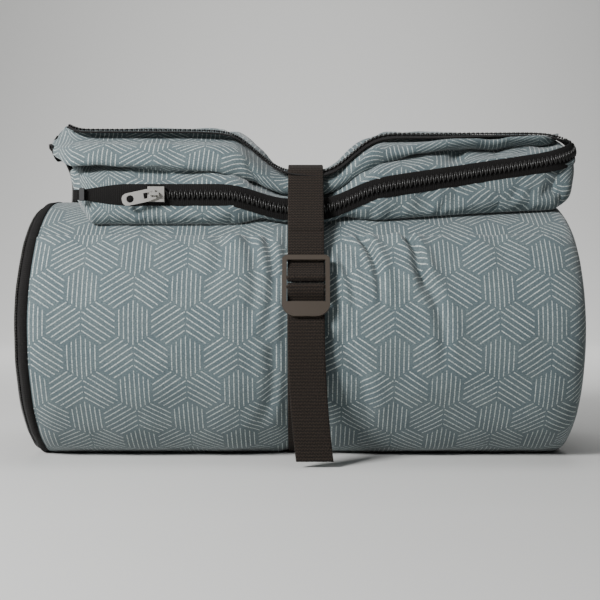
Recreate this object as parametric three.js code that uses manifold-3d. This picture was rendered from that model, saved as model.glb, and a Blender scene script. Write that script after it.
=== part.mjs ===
// A padded infrared sauna blanket, zipped shut, folded in half lengthwise, rolled up and strapped.
// Millimetres, +Z up, X along the roll, the buckle on the -Y side, resting on z = 0.
import * as THREE from "three";
import { mergeVertices } from "three/addons/utils/BufferGeometryUtils.js";
import Module from "manifold-3d";

const wasm = await Module();
wasm.setup();

// Driving dimensions.
const LEFT = -231; // left edge of the folded blanket in the roll
const RIGHT = 232; // outside of the fold at the right end
const LAP = 27; // growth of the roll for each turn of the folded blanket
const GAP = 0.3; // clearance between neighbouring pieces
const DEEP = LAP - GAP; // thickness of the folded blanket
const START = 144.6; // outside radius at the angle zero of the first unwrapped turn
const AXIS = 113.72; // height of the roll's axis above the ground
const SETTLE = 22.5; // half of the angle over which the roll is flattened underneath
const TAIL = 160; // angle where the rolled part ends and the tail begins
const CORE = 1432.5; // unwrapped angle of the blanket's other end, in the core
const STRAP_X = 3; // middle of the strap
const WEB = 30; // webbing width
const PLY = 1.5; // webbing thickness
const SINK = 2.1; // depth of the recess that the strap presses into the roll
// What moves the roll so that the whole object is centred on x = y = 0.
const CENTRE = [6.47, 0.91];

const rad = (d) => (d * Math.PI) / 180;
const group = new THREE.Group();

// Finishes.
const finish = (color, roughness, metalness) =>
  new THREE.MeshStandardMaterial({ color, roughness, metalness });
const quilted = finish(0x8d9998, 0.9, 0);
const wadding = finish(0xe6e4dc, 0.95, 0);
const film = finish(0x2b2d30, 0.6, 0.1);
const lining = finish(0x4a4f52, 0.5, 0);
const zipBlack = finish(0x17181a, 0.8, 0);
const webbing = finish(0x3a302a, 0.85, 0);
const buckleBrown = finish(0x5d5349, 0.4, 0);
const nickel = finish(0x8b8d90, 0.3, 0.9);
const housing = finish(0x26282a, 0.45, 0);
const brass = finish(0xb89b55, 0.3, 0.9);
const wire = finish(0x7d2f2a, 0.5, 0);

// A point at an angle from the front (0) over the top (90) to the back (180), seen from the left end.
const polar = (deg, r) => [-r * Math.cos(rad(deg)), r * Math.sin(rad(deg))];
const point = (x, [y, z]) => new THREE.Vector3(x - CENTRE[0], y - CENTRE[1], z + AXIS);

// A closed skin over a row of rings with the same number of points. Each four-cornered face is
// split by the same slanting rule, so that two skins lying on each other split alike.
// Each end is closed by a ladder of faces, because a ring's second half runs back beside its first.
function skin(rings) {
  const p = rings.flat();
  const n = rings[0].length;
  const faces = [];
  for (let i = 0; i + 1 < rings.length; i++) {
    for (let j = 0; j < n; j++) {
      const k = (j + 1) % n;
      const [a, b, c, d] = [i * n + j, i * n + k, i * n + n + k, i * n + n + j];
      if (p[a].y + 0.6 * p[a].z < p[b].y + 0.6 * p[b].z) faces.push(a, b, c, a, c, d);
      else faces.push(a, b, d, b, c, d);
    }
  }
  const last = (rings.length - 1) * n;
  for (let i = 0, j = n - 1; j - i > 1; ) {
    const rung = j - i > 2 ? [[i, i + 1, j], [i + 1, j - 1, j]] : [[i, i + 1, j]];
    for (const [a, b, c] of rung) faces.push(c, b, a, last + a, last + b, last + c);
    i += 1;
    j -= rung.length > 1 ? 1 : 0;
    if (rung.length === 1) break;
  }
  return solid(p, faces);
}

// Points and faces as one closed solid with its faces turned outwards.
function solid(points, faces) {
  const g = new THREE.BufferGeometry();
  g.setAttribute("position", new THREE.Float32BufferAttribute(points.flatMap((v) => v.toArray()), 3));
  let volume = 0;
  for (let i = 0; i < faces.length; i += 3) {
    const [a, b, c] = [points[faces[i]], points[faces[i + 1]], points[faces[i + 2]]];
    volume += a.dot(b.clone().cross(c));
  }
  if (volume < 0) {
    for (let i = 0; i < faces.length; i += 3) {
      [faces[i + 1], faces[i + 2]] = [faces[i + 2], faces[i + 1]];
    }
  }
  g.setIndex(faces);
  return g;
}

function add(name, geometry, material) {
  const g = geometry.index ? geometry.toNonIndexed() : geometry;
  g.deleteAttribute("uv");
  g.computeVertexNormals();
  const mesh = new THREE.Mesh(g, material);
  mesh.name = name;
  group.add(mesh);
  return mesh;
}

// Solid addition and subtraction.
function body(g) {
  const bare = new THREE.BufferGeometry();
  const loose = g.index ? g.toNonIndexed() : g;
  bare.setAttribute("position", loose.getAttribute("position"));
  const m = mergeVertices(bare, 1e-4);
  const triVerts = new Uint32Array(m.index.array);
  const vertProperties = new Float32Array(m.attributes.position.array);
  return new wasm.Manifold(new wasm.Mesh({ numProp: 3, vertProperties, triVerts }));
}
function back(manifold) {
  const m = manifold.getMesh();
  const g = new THREE.BufferGeometry();
  g.setAttribute("position", new THREE.BufferAttribute(new Float32Array(m.vertProperties), 3));
  g.setIndex(Array.from(m.triVerts));
  return g;
}
const cut = (a, ...others) => back(others.reduce((s, o) => s.subtract(body(o)), body(a)));
const join = (a, ...others) => back(others.reduce((s, o) => s.add(body(o)), body(a)));

// Outside radius of the roll: it shrinks by one lap each turn, but not across the flattened bottom.
function outside(deg) {
  const turns = Math.floor(deg / 360);
  const rest = deg - 360 * turns;
  const flatStart = 270 - SETTLE;
  const grown = rest <= flatStart ? rest : Math.max(flatStart, rest - 2 * SETTLE);
  return START - LAP * (turns + grown / (360 - 2 * SETTLE));
}
// How far the flattened bottom pulls a radius in.
function press(deg) {
  const off = Math.abs((((deg % 360) + 360) % 360) - 270);
  return off < SETTLE + 0.01 ? Math.cos(rad(SETTLE)) / Math.cos(rad(off)) : 1;
}
// A point of the rolled blanket: its unwrapped angle, and its height above the lap's inner side.
const rolled = (deg, n) => polar(deg, press(deg) * (outside(deg) - LAP + n));

// The angles at which every layer of the roll has a corner, so that the layers nest.
const STEP = (360 - 2 * SETTLE) / 18;
const angles = [];
for (let turn = 0; turn < 4; turn++) {
  for (let i = 0; i < 19; i++) {
    angles.push(turn * 360 + (i < 15 ? 2.5 + i * STEP : 292.5 + (i - 15) * STEP));
  }
}
const between = (a, b) => angles.filter((d) => d > a - 0.01 && d < b + 0.01);

// How much of the strap's recess there is across the roll, at the corners of the outermost lap.
const recess = [
  [STRAP_X - 24, 0],
  [STRAP_X - 15.6, 1],
  [STRAP_X + 15.6, 1],
  [STRAP_X + 24, 0],
];
// Where the outermost lap has those corners, and where the strap really presses it.
const strapped = (deg) => deg < 419;
const pressed = (deg) => (deg < 399 ? 1 : 0);

// A folded sheet, like a U on its side with the fold at the right, swept along the roll.
// inset is how deep it lies inside the folded blanket, and dip says which faces the strap presses.
function folded(inset, thick, from, to, dipOut, dipIn) {
  const inner = inset + thick;
  const corners = [
    [LEFT, inset],
    [RIGHT - inset, inset],
    [RIGHT - inset, DEEP - inset],
    [LEFT, DEEP - inset],
    [LEFT, DEEP - inner],
    [RIGHT - inner, DEEP - inner],
    [RIGHT - inner, inner],
    [LEFT, inner],
  ];
  const rings = between(from, to).map((deg) => {
    const ring = corners.map(([x, n]) => [[x, n]]);
    if (strapped(deg)) {
      const dip = (k) => k * pressed(deg);
      const backwards = [...recess].reverse();
      if (dipOut) ring[2].push(...backwards.map(([x, k]) => [x, DEEP - inset - dip(k) * dipOut]));
      if (dipIn) ring[4].push(...recess.map(([x, k]) => [x, DEEP - inner - dip(k) * dipIn]));
    }
    return { deg, ring };
  });
  return swept(rings);
}

// Rings whose corners may carry extra points after them. Between a ring with extras and one
// without, the faces fan out from the ring without.
function swept(rings) {
  const points = [];
  const index = rings.map(({ deg, ring }) =>
    ring.map((chain) =>
      chain.map(([x, n]) => {
        points.push(point(x, rolled(deg, n)));
        return points.length - 1;
      }),
    ),
  );
  const faces = [];
  for (let i = 0; i + 1 < index.length; i++) {
    for (let k = 0; k < index[i].length; k++) {
      const next = (k + 1) % index[i].length;
      const a = [...index[i][k], index[i][next][0]];
      const b = [...index[i + 1][k], index[i + 1][next][0]];
      if (a.length === b.length) {
        for (let j = 0; j + 1 < a.length; j++) {
          const [p, q, r, t] = [a[j], a[j + 1], b[j + 1], b[j]];
          if (points[p].x < points[q].x) faces.push(p, q, r, p, r, t);
          else faces.push(p, q, t, q, r, t);
        }
      } else if (a.length < b.length) {
        for (let j = 0; j + 2 < b.length; j++) faces.push(a[0], b[j + 1], b[j]);
        faces.push(a[0], a[1], b.at(-1), a[0], b.at(-1), b.at(-2));
      } else {
        for (let j = 0; j + 2 < a.length; j++) faces.push(b[0], a[j], a[j + 1]);
        faces.push(b[0], a.at(-2), a.at(-1), b[0], a.at(-1), b[1]);
      }
    }
  }
  for (const end of [0, rings.length - 1]) {
    const flat = rings[end].ring.flat().map(([x, n]) => new THREE.Vector2(x, n));
    const ids = index[end].flat();
    for (const t of THREE.ShapeUtils.triangulateShape(flat, [])) {
      const [a, b, c] = end === 0 ? [t[2], t[1], t[0]] : t;
      faces.push(ids[a], ids[b], ids[c]);
    }
  }
  return solid(points, faces);
}

// The bottom sheet is the outer U and the top sheet is nested in it.
add("cover_bottom_sheet", folded(0, 1.2, TAIL, CORE, SINK, SINK), quilted);
add("batting_bottom_sheet", folded(1.5, 3.2, TAIL, CORE, SINK, 0), wadding);
add("heater_film_bottom", folded(5.0, 0.5, 300, 1090, 0, 0), film);
add("lining_bottom_sheet", folded(5.8, 0.6, TAIL, CORE, 0, 0), lining);
add("lining_top_sheet", folded(6.8, 0.6, TAIL, CORE, 0, 0), lining);
add("heater_film_top", folded(7.7, 0.5, 300, 1090, 0, 0), film);
add("batting_top_sheet", folded(8.5, 3.2, TAIL, CORE, 0, 0), wadding);
add("cover_top_sheet", folded(12.0, 1.1, TAIL, CORE, 0, 0), quilted);

// A band along the left end of the roll, between two depths in the folded blanket.
function band(x0, x1, n0, n1, from, to) {
  const ring = [[[x0, n0]], [[x1, n0]], [[x1, n1]], [[x0, n1]]];
  return swept(between(from, to).map((deg) => ({ deg, ring })));
}
const HALF = DEEP / 2;
add("side_zip_tape_inner", band(LEFT - 1.5, LEFT - 0.3, 0.4, HALF - 0.3, TAIL, CORE), zipBlack);
add("side_zip_tape_outer", band(LEFT - 1.5, LEFT - 0.3, HALF + 0.3, DEEP - 0.1, TAIL, CORE), zipBlack);
const coilBand = (n) => band(LEFT - 4.2, LEFT - 1.8, n - 3, n + 3, TAIL, CORE);
add("side_zip_coil_inner", coilBand(HALF / 2), zipBlack);
add("side_zip_coil_outer", coilBand(HALF * 1.5), zipBlack);

// The tail: two slabs, one on the other, from the back of the roll over its top to the front.
const under = (deg) => outside(deg + 360) + 0.4;
// Outlines as angle and radius pairs. "loose" is away from the strap and "tight" is under it.
// "risen" is the right end, where the lower slab rears up and thins the upper one's nose.
const at = (y, z) => [180 - (Math.atan2(z, y) * 180) / Math.PI, Math.hypot(y, z)];
const BACK = [159.7, 142.5, 125, 107.5, 90, 72.5];
const roof = {
  loose: [130.9, 140, 149.5, 159.5, 168.5, 172.5],
  tight: [128.4, 131, 134, 137.4, 140.5, 142.3],
  risen: [130.9, 140, 149.5, 159, 165, 167.2],
};
const waist = {
  loose: [117.2, 121.5, 128, 134.5, 140, 144.5],
  tight: [116, 118, 120.5, 123, 125.5, 127],
  risen: [117.2, 121.5, 128.5, 137, 146.5, 155],
};
const outlineOf = (pairs) => pairs.map(([y, z]) => at(y, z));
const lip = {
  loose: [[-77.5, 84.3], [-83, 87.5], [-85.2, 93], [-84.8, 99], [-84.8, 118], [-82.5, 121.5], [-76, 125.2]],
  tight: [[-74.2, 86.5], [-76, 88], [-76.8, 90.5], [-76.8, 93], [-76.8, 100.5], [-75.6, 103], [-72, 105.6]],
  risen: [[-77.5, 84.3], [-83, 87.5], [-85.2, 93], [-84.8, 100], [-83.5, 135], [-79.5, 140.5], [-71, 143.6]],
};
const brow = {
  loose: [[-77, 126.8], [-81, 128.8], [-81, 134], [-75, 143.5], [-57.5, 160.5], [-55, 162.8]],
  tight: [[-66, 110.8], [-69, 112.5], [-70.6, 116], [-70.2, 121], [-66.5, 125.5], [-60, 130]],
  risen: [[-71.5, 145.1], [-75.5, 146.2], [-76, 147.8], [-70.5, 151.5], [-58, 156.5], [-55.5, 158.5]],
};
const mixed = (a, b, k) => a.map((v, i) => v + (b[i] - v) * k);
const rows = (a, b, k) => a.map((row, i) => mixed(row, b[i], k));
const radii = (set, tight, risen) => mixed(mixed(set.loose, set.tight, tight), set.risen, risen);
const corners = (set, tight, risen) =>
  outlineOf(rows(rows(set.loose, set.tight, tight), set.risen, risen));

// Stations across the tail: x, how tight it is, how far its nose is drawn back, its plumpness,
// and how far its lower slab has risen.
const STATIONS = [
  [-222, 0, 15, 0.86, 0],
  [-212, 0, 6, 0.95, 0],
  [-194, 0, 0, 1, 0],
  [-66, 0, 0, 1, 0],
  [STRAP_X - 17, 1, 0, 1, 0],
  [STRAP_X + 17, 1, 0, 1, 0],
  [70, 0, 2.5, 1, 0.26],
  [200, 0, 10, 1, 0.92],
  [218, 0, 12, 0.97, 1],
  [232, 0, 17, 0.92, 1],
];
function station(x) {
  const i = STATIONS.findIndex((s) => s[0] >= x - 1e-6);
  if (i <= 0) return STATIONS[i === 0 ? 0 : STATIONS.length - 1];
  const [a, b] = [STATIONS[i - 1], STATIONS[i]];
  return mixed(a, b, (x - a[0]) / (b[0] - a[0]));
}
// The nose is drawn back and thinned towards the ends of the tail.
function drawn([deg, r], [, , backward, plump]) {
  const share = Math.min(1, Math.max(0, (110 - deg) / 45));
  const turned = deg + backward * share;
  const base = under(Math.min(turned, 247)) * (1 + 0.013 * Math.min(1, backward / 4));
  const thin = 1 - (1 - plump) * Math.min(1, (160 - Math.min(deg, 160)) / 40);
  return polar(turned, base + (r - under(Math.min(deg, 247))) * thin);
}
const lower = (tight, risen) => [
  ...BACK.map((d) => [d, under(d)]),
  ...[60, 53].map((d) => [d, under(d)]),
  ...corners(lip, tight, risen),
  ...radii(waist, tight, risen).map((r, i) => [BACK[i], r]).reverse(),
];
const upper = (tight, risen) => [
  ...radii(waist, tight, risen).map((r, i) => [BACK[i], r + 0.5]),
  ...corners(brow, tight, risen),
  ...radii(roof, tight, risen).map((r, i) => [BACK[i], r]).reverse(),
];

// The same outline drawn in by a distance. Its first and last points stay on the open end.
function drawnIn(outline, by, open) {
  const n = outline.length;
  return outline.map((p, i) => {
    const a = outline[Math.max(i - 1, 0)];
    const b = outline[Math.min(i + 1, n - 1)];
    const u = new THREE.Vector2(p[0] - a[0], p[1] - a[1]);
    const v = new THREE.Vector2(b[0] - p[0], b[1] - p[1]);
    if (i === 0) u.copy(v);
    if (i === n - 1) v.copy(u);
    u.normalize();
    v.normalize();
    const normal = new THREE.Vector2(u.y + v.y, -u.x - v.x).normalize();
    const reach = by / Math.max(0.6, normal.x * u.y - normal.y * u.x);
    const moved = [p[0] + normal.x * reach, p[1] + normal.y * reach];
    if (i !== 0 && i !== n - 1) return moved;
    const along = i === 0 ? u.clone().negate() : v;
    return [moved[0] + along.x * open, moved[1] + along.y * open];
  });
}

// A slab of the tail as a loft across it, drawn in by a distance on every side but the back.
function slab(outline, by = 0, open = 0) {
  const xs = STATIONS.map((s) => s[0]);
  xs[0] += by;
  xs[xs.length - 1] -= by;
  const sides = xs.map((x) => {
    const s = station(x);
    const plain = outline(s[1], s[4]).map((p) => drawn(p, s));
    return by ? drawnIn(plain, by, open) : plain;
  });
  return skin(sides.map((ring, i) => ring.map((p) => point(xs[i], p))));
}
add("tail_cover_lower", cut(slab(lower), slab(lower, 1.3, 6)), quilted);
add("tail_cover_upper", cut(slab(upper), slab(upper, 1.3, 6)), quilted);
add("tail_batting_lower", slab(lower, 1.8), wadding);
add("tail_batting_upper", slab(upper, 2.1), wadding);

// A plate across the end of the tail, from one x to another, with the same outline all through.
function plate(outlines, x0, x1, shrink) {
  const s = station(x0);
  const side = outlines.map((p) => drawn(p, s));
  const far = drawnIn(side, shrink, 0);
  return skin([side.map((p) => point(x0, p)), far.map((p) => point(x1, p))]);
}
// The fold that closes both slabs at the right end.
const folding = [...lower(0, 1).slice(0, 14), ...upper(0, 1).slice(8)];
add("tail_fold", plate(folding, 232.3, 240, 4), quilted);
// The side zip runs up the left end of both slabs.
const tapeLeft = (outline) => plate(outline(0, 0), -222.3, -223.6, 0.3);
add("tail_side_tape_lower", tapeLeft(lower), zipBlack);
add("tail_side_tape_upper", tapeLeft(upper), zipBlack);

// A bar along a row of places, each with a middle, a direction across it and one out of it.
function bar(places, across, outward0, outward1) {
  const rings = places.map(({ mid, side, out }) => {
    const corner = (a, o) => mid.clone().addScaledVector(side, a).addScaledVector(out, o);
    return [
      corner(-across, outward0),
      corner(across, outward0),
      corner(across, outward1),
      corner(-across, outward1),
    ];
  });
  return skin(rings);
}
// A place on the tail's outline between two of its points.
function spot(x, outline, i, j, share = 0.5) {
  const s = station(x);
  const ring = outline(s[1], s[4]).map((p) => drawn(p, s));
  const a = point(x, ring[i]);
  const b = point(x, ring[j]);
  const side = b.clone().sub(a).normalize();
  const out = new THREE.Vector3(0, -side.z, side.y);
  return { mid: a.lerp(b, share), side, out };
}
const FRONT = [-190, -128, -66, STRAP_X - 17, STRAP_X + 17, 44, 70, 105, 140, 170, 200, 216];
const frontRun = FRONT.map((x) => spot(x, lower, 11, 12, 0.5 + 0.24 * station(x)[4]));
const REAR = [210, 198, 170, 140, 105, 70, 44, STRAP_X + 17, STRAP_X - 17, -66, -194];
const rearRun = REAR.map((x) => spot(x, upper, 9, 10, 0.66));
const corner = (x, y, z, out) => ({ mid: point(x, [y, z]), out: new THREE.Vector3(...out).normalize() });
// Round the right end the zip leaves the lower slab, climbs over the fold and joins the upper slab.
const climb = [
  corner(231, -50, 144.5, [0.5, -0.85, 0.1]),
  corner(241, -40, 150, [0.95, -0.3, 0.15]),
  corner(243.5, -31, 156.5, [0.9, -0.2, 0.45]),
  corner(239, -26, 163, [0.6, -0.2, 0.8]),
  corner(226, -26, 167.5, [0.25, -0.2, 0.95]),
];
const run = [...frontRun, ...climb, ...rearRun];
run.forEach((place, i) => {
  if (place.side) return;
  const along = run[i + 1].mid.clone().sub(run[i - 1].mid).normalize();
  place.side = place.out.clone().cross(along).normalize();
  place.out = along.clone().cross(place.side).normalize();
  if (place.out.x < 0) place.out.negate();
});
// Across the rear run the tape's sides change places, because the zip has turned back.
rearRun.forEach((place) => place.side.negate());
add("end_zip_tape", bar(run, 8.2, 0.9, 1.7), zipBlack);
// Round the corner the coil stands a little further out.
const coilRun = run.slice(1).map((place) => {
  const lift = climb.includes(place) ? 1.7 : 0;
  return { ...place, mid: place.mid.clone().addScaledVector(place.out, lift) };
});
add("end_zip_coil", bar(coilRun, 3.4, 2.3, 4.4), zipBlack);

// The slider, in its own frame: u along the zip towards the strap, v up across it, w outwards.
const zipPlace = spot(-128, lower, 11, 12);
const inZip = new THREE.Matrix4().makeBasis(new THREE.Vector3(1, 0, 0), zipPlace.side, zipPlace.out);
inZip.setPosition(zipPlace.mid);
const box = (x0, x1, y0, y1, z0, z1) => {
  const g = new THREE.BoxGeometry(x1 - x0, y1 - y0, z1 - z0);
  return g.translate((x0 + x1) / 2, (y0 + y1) / 2, (z0 + z1) / 2);
};
const SLIDER = 6; // the slider's left end along the zip
const shell = join(
  box(SLIDER - 7, SLIDER + 7, -6.4, 6.4, 4.7, 6.2),
  box(SLIDER - 7, SLIDER + 7, -6.4, -4.1, 2.1, 5.4),
  box(SLIDER - 7, SLIDER + 7, 4.1, 6.4, 2.1, 5.4),
  box(SLIDER - 5, SLIDER - 3.6, -1.3, 1.3, 5.4, 10.6),
  box(SLIDER + 1.6, SLIDER + 3, -1.3, 1.3, 5.4, 10.6),
  box(SLIDER - 5, SLIDER + 3, -1.3, 1.3, 9.4, 10.6),
);
add("zip_slider", shell.applyMatrix4(inZip), nickel);
// The pull tab hangs on the slider's bridge and lies over the zip to the left, a little down.
const DROOP = 12;
const pivot = new THREE.Vector3(SLIDER - 1, 0, 7.8);
const blade = new THREE.Shape();
blade.moveTo(1.2, -3.6);
blade.lineTo(1.2, 3.6);
blade.lineTo(-6, 5.2);
blade.lineTo(-22, 5.2);
blade.quadraticCurveTo(-27.5, 5.2, -27.5, 0);
blade.quadraticCurveTo(-27.5, -5.2, -22, -5.2);
blade.lineTo(-6, -5.2);
const slot = new THREE.Path([
  new THREE.Vector2(-1.2, -2.4),
  new THREE.Vector2(-9, -2.4),
  new THREE.Vector2(-9, 2.4),
  new THREE.Vector2(-1.2, 2.4),
]);
const eye = new THREE.Path();
eye.absarc(-20.5, 0, 3.2, 0, Math.PI * 2, true);
blade.holes = [slot, eye];
const tab = new THREE.ExtrudeGeometry(blade, { depth: 1.4, bevelEnabled: false, curveSegments: 5 });
tab.translate(0, 0, -0.7).rotateZ(rad(DROOP)).translate(pivot.x, pivot.y, pivot.z);
add("pull_tab", tab.applyMatrix4(inZip), nickel);
// A staple across the chain where the zip begins.
const stop = join(
  box(-58, -54, -4.4, 4.4, 4.7, 5.6),
  box(-58, -54, -5.3, -3.9, 2.0, 5.6),
  box(-58, -54, 3.9, 5.3, 2.0, 5.6),
);
add("zip_stop", stop.applyMatrix4(inZip), nickel);

// The buckle's frame: v up along the roll and n outwards, at an angle above the roll's front.
const TILT = 15;
const BUCKLE_R = 122.8;
const buckleAt = (v, n) => {
  const [c, s] = [Math.cos(rad(TILT)), Math.sin(rad(TILT))];
  return [-(BUCKLE_R + n) * c + v * s, (BUCKLE_R + n) * s + v * c];
};
// A strip of webbing whose middle follows a path in the plane across the roll.
function ribbon(path, x0 = STRAP_X - WEB / 2, x1 = STRAP_X + WEB / 2, ply = PLY) {
  const n = path.length;
  const inner = [];
  const outer = [];
  path.forEach((p, i) => {
    const a = path[Math.max(i - 1, 0)];
    const b = path[Math.min(i + 1, n - 1)];
    const u = new THREE.Vector2(p[0] - a[0], p[1] - a[1]);
    const v = new THREE.Vector2(b[0] - p[0], b[1] - p[1]);
    if (i === 0) u.copy(v);
    if (i === n - 1) v.copy(u);
    u.normalize();
    v.normalize();
    const normal = new THREE.Vector2(-u.y - v.y, u.x + v.x).normalize();
    const reach = ply / 2 / (normal.x * -u.y + normal.y * u.x);
    inner.push([p[0] + normal.x * reach, p[1] + normal.y * reach]);
    outer.push([p[0] - normal.x * reach, p[1] - normal.y * reach]);
  });
  const outline = [...inner, ...outer.reverse()];
  return skin([outline.map((p) => point(x0, p)), outline.map((p) => point(x1, p))]);
}
// The loop: from the buckle's top bar over the tail, down the back, under the roll, to the buckle.
const top = [
  buckleAt(26.6, -3.1),
  [-74.6, 126.2],
  [-68.4, 133.2],
  [-58, 136.6],
  ...[...BACK].reverse().map((d, i) => polar(d, roof.tight[5 - i] + 0.35 + PLY / 2)),
];
const around = between(TAIL + 5, 345).map((d) => rolled(d, DEEP - SINK + 0.3 + PLY / 2));
const strapLoop = [...top, ...around, buckleAt(-27.6, -4.9)];
add("strap_loop", ribbon(strapLoop), webbing);
// The sewn-back end lies behind the loop, and the bar tack holds it.
const lead = new THREE.Vector2(top[1][0] - top[0][0], top[1][1] - top[0][1]).normalize();
const beside = (d, off) => [top[0][0] + lead.x * d + lead.y * off, top[0][1] + lead.y * d - lead.x * off];
add("strap_sewn_end", ribbon([beside(1.5, 1.8), beside(29, 1.8)]), webbing);
add("bar_tack", ribbon([beside(22, -1.35), beside(25, -1.35)], STRAP_X - 13, STRAP_X + 13, 0.6), webbing);

// The strap's end loop round the fixed bar, and its turn round the grip bar.
const FIXED = 6.8;
const GRIP = -0.9;
const arc = (v, r, from, to, steps) =>
  Array.from({ length: steps + 1 }, (_, i) => {
    const a = rad(from + ((to - from) * i) / steps);
    return buckleAt(v + r * Math.cos(a), r * Math.sin(a));
  });
const endLoop = [buckleAt(26.2, -3.1), buckleAt(21, -3.1)];
endLoop.push(...arc(FIXED, 2.65, 62, 270, 7), buckleAt(21, -4.9), buckleAt(26.2, -4.9));
add("strap_end_loop", ribbon(endLoop), webbing);
const turn = [buckleAt(-26.8, -4.9), buckleAt(-9, -4.9), buckleAt(-3.6, -3.2)];
turn.push(...arc(GRIP, 2.5, -75, 75, 5), buckleAt(-5.5, 1.0), buckleAt(-10.5, -2.6));
turn.push(buckleAt(-14, -3.1), buckleAt(-26.8, -3.1));
add("strap_turn", ribbon(turn), webbing);

// The ladder-lock buckle in one moulding: two side rails, four bars and a half-round lip.
const RAIL = 19.2;
const inBuckle = new THREE.Matrix4().makeBasis(
  new THREE.Vector3(1, 0, 0),
  new THREE.Vector3(0, Math.sin(rad(TILT)), Math.cos(rad(TILT))),
  new THREE.Vector3(0, -Math.cos(rad(TILT)), Math.sin(rad(TILT))),
);
inBuckle.setPosition(point(STRAP_X, buckleAt(0, 0)));
function rod(v, r) {
  const turned = new THREE.CylinderGeometry(r, r, 2 * RAIL - 2, 10).rotateZ(Math.PI / 2);
  return turned.translate(0, v, 0);
}
const rim = new THREE.Shape();
rim.moveTo(-RAIL + 2, -21);
rim.lineTo(-RAIL, -17);
rim.lineTo(-RAIL, 23);
rim.lineTo(-RAIL + 2.5, 25.5);
rim.lineTo(RAIL - 2.5, 25.5);
rim.lineTo(RAIL, 23);
rim.lineTo(RAIL, -17);
rim.lineTo(RAIL - 2, -21);
rim.quadraticCurveTo(RAIL - 6, -25.5, 9, -25.5);
rim.lineTo(-9, -25.5);
rim.quadraticCurveTo(-RAIL + 6, -25.5, -RAIL + 2, -21);
const window0 = new THREE.Path([
  new THREE.Vector2(-15.6, -13.4),
  new THREE.Vector2(15.6, -13.4),
  new THREE.Vector2(15.6, 21.5),
  new THREE.Vector2(-15.6, 21.5),
]);
rim.holes = [window0];
const frame = new THREE.ExtrudeGeometry(rim, { depth: 4, bevelEnabled: false, curveSegments: 4 });
frame.translate(0, 0, -2);
const buckle = join(frame, rod(FIXED, 1.6), rod(GRIP, 1.45));
add("ladder_lock_buckle", buckle.applyMatrix4(inBuckle), buckleBrown);

// The strap's tail hangs straight down in front of the roll and ends in a folded hem.
const hang = buckleAt(-27.9, -3.1);
const hem = [hang[0] - 3.2, -108.5];
const tailPath = [
  hang,
  [hang[0] - 2.4, hang[1] - 9],
  [hang[0] - 3.2, hang[1] - 22],
  [hem[0], hem[1] + 18],
  hem,
];
add("strap_tail", ribbon(tailPath), webbing);

// The inlet and the wiring, in the hollow core at the left end.
const core = (y, z) => point(0, [y, z]);
const inCore = (g, y = 0, z = 0) => {
  const c = core(y, z);
  return g.translate(c.x, c.y, c.z);
};
const cylinderX = (x0, x1, r, sides = 12) =>
  new THREE.CylinderGeometry(r, r, x1 - x0, sides).rotateZ(Math.PI / 2).translate((x0 + x1) / 2, 0, 0);
const INLET = -236;
const inletBody = cut(box(INLET, INLET + 30, -9.5, 9.5, -5.5, 5.5), box(INLET - 1, INLET + 18, -8, 8, -4, 4));
add("inlet_shell", inCore(inletBody), housing);
const insulator = cut(
  box(INLET + 12, INLET + 17.6, -7.7, 7.7, -3.7, 3.7),
  ...[-5, 0, 5].map((y) => cylinderX(INLET + 11, INLET + 16.4, 1.25, 8).translate(0, y, 0)),
);
add("inlet_insulator", inCore(insulator), lining);
const pins = { inlet_pin_line: -5, inlet_pin_earth: 0, inlet_pin_neutral: 5 };
for (const [name, y] of Object.entries(pins)) {
  add(name, inCore(cylinderX(INLET + 3, INLET + 16, 0.95, 8), y, 0), brass);
}
const rimPlate = box(INLET - 1.5, INLET - 0.3, -10.6, 10.6, -6.6, 6.6);
const flange = cut(rimPlate, box(INLET - 2, INLET + 1, -8, 8, -4, 4));
add("inlet_flange", inCore(flange), housing);
add("lead_neutral", inCore(cylinderX(INLET + 30.3, INLET + 110, 1.5, 8), 6, 0), wire);
add("lead_line", inCore(cylinderX(INLET + 30.3, INLET + 52, 1.5, 8), -6, 0), wire);
add("thermal_cutout", inCore(cylinderX(INLET + 52.3, INLET + 72, 3.2, 10), -6, 0), nickel);
add("lead_sensor", inCore(cylinderX(INLET + 30.3, INLET + 60, 1, 8), 0, 0), wire);
add("temperature_probe", inCore(cylinderX(INLET + 60.3, INLET + 84, 2.2, 10), 0, 0), nickel);

export default group;
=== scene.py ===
# %% [markdown]
# # A rolled infrared sauna blanket
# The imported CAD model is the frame: every hard piece is shown as it stands there, with a bevel and
# a finish. The soft pieces are made here over the same dimensions, because cloth and wadding bulge,
# sag and crease in a way that a firm solid cannot.

# %% Start
import math
import bpy
import bmesh
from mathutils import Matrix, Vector, noise


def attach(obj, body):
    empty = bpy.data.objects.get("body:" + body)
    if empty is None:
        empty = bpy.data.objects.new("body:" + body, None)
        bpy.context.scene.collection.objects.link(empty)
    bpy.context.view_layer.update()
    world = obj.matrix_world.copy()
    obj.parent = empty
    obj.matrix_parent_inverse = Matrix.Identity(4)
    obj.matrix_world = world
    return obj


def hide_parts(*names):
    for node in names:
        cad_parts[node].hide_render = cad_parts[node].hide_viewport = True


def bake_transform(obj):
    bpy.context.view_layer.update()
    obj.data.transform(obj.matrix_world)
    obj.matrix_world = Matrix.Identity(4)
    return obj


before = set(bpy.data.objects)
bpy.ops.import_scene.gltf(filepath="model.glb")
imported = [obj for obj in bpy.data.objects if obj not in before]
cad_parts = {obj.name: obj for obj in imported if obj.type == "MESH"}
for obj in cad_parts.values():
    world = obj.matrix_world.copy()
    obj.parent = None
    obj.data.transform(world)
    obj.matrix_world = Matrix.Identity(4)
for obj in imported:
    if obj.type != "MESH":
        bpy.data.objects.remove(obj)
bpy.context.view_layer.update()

# %% [markdown]
# ## Dimensions
# The roll is a spiral of the folded blanket. Its axis runs along X. Angles start at the front, go
# over the top and down the back, and grow inwards from the outermost lap. Everything is in
# millimetres here and is turned into metres where a vertex is placed.

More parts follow.
